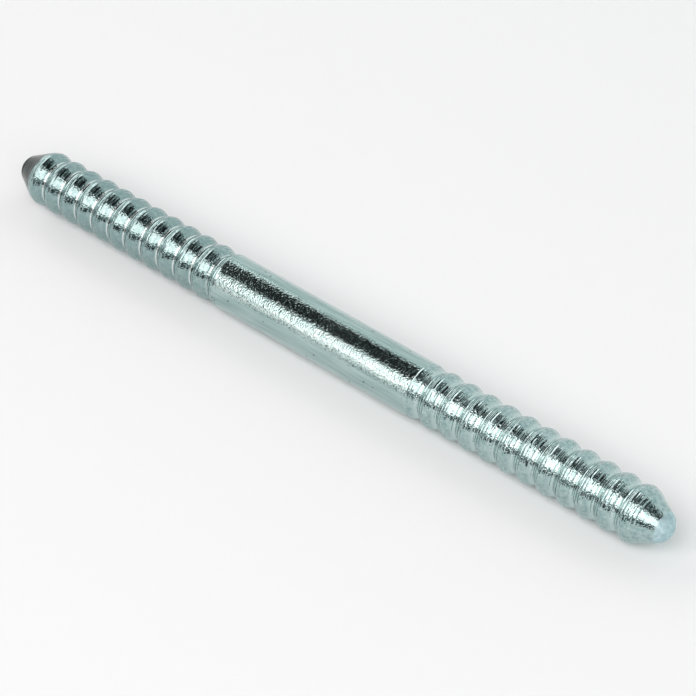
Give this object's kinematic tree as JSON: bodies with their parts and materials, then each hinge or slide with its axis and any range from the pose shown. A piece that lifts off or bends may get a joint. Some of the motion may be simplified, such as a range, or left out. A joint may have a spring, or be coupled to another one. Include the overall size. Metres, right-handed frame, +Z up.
{
  "type": "double-ended ringed stud",
  "caption": "Straight round steel stud with a plain shank between ringed, blunt-nosed ends, driven or bonded into facing holes to join parts.",
  "frame": {"origin": "middle of the stud, on its axis", "axes": "+X along the stud's axis, +Z up when it lies on a surface"},
  "size_m": [0.115, 0.008, 0.008],
  "materials": {
    "zinc_plate": "bright zinc plate over turned steel, with a faint blue-green tint and a fine grain"
  },
  "bodies": {
    "root": {"ringed_stud": "zinc_plate"}
  },
  "joints": []
}
